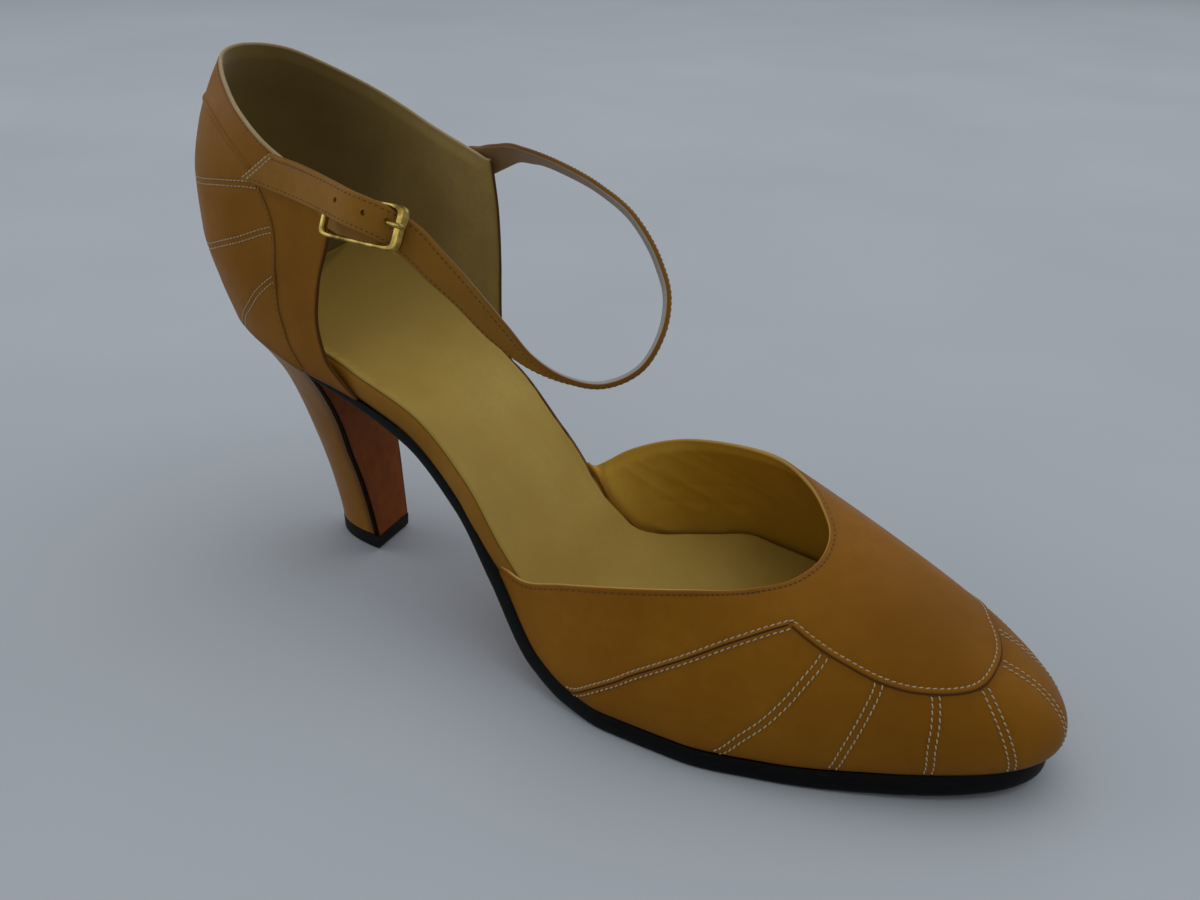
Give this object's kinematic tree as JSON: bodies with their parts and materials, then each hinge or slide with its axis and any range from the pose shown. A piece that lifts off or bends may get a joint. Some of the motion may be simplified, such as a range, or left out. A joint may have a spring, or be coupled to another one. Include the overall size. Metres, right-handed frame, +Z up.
{
  "type": "ankle strap heel",
  "caption": "Right two-piece leather pump on a slim curved heel, open at the waist, with a buckled ankle strap standing in a slack loop.",
  "frame": {"origin": "on the floor under the middle of the heel's walking tip", "axes": "+X from heel to toe, +Y to the inner (big toe) side, +Z up"},
  "size_m": [0.2317, 0.0777, 0.1248],
  "materials": {
    "sole_edge": "black edge ink, satin",
    "heel_cover": "smooth tan leather cover",
    "breast_leather": "brown sole leather",
    "top_piece": "hard black rubber",
    "sock": "matt golden sock leather",
    "upper": "smooth tan calf, soft gloss",
    "strap": "smooth tan calf, soft gloss",
    "buckle": "polished gold plate"
  },
  "bodies": {
    "root": {"outsole": "sole_edge", "heel_block": "heel_cover", "heel_breast_cover": "breast_leather", "heel_top_piece": "top_piece", "insole": "sock", "vamp": "upper", "quarter": "upper", "ankle_strap": "strap", "buckle_frame": "buckle", "buckle_prong": "buckle", "buckle_chape": "strap"}
  },
  "joints": []
}
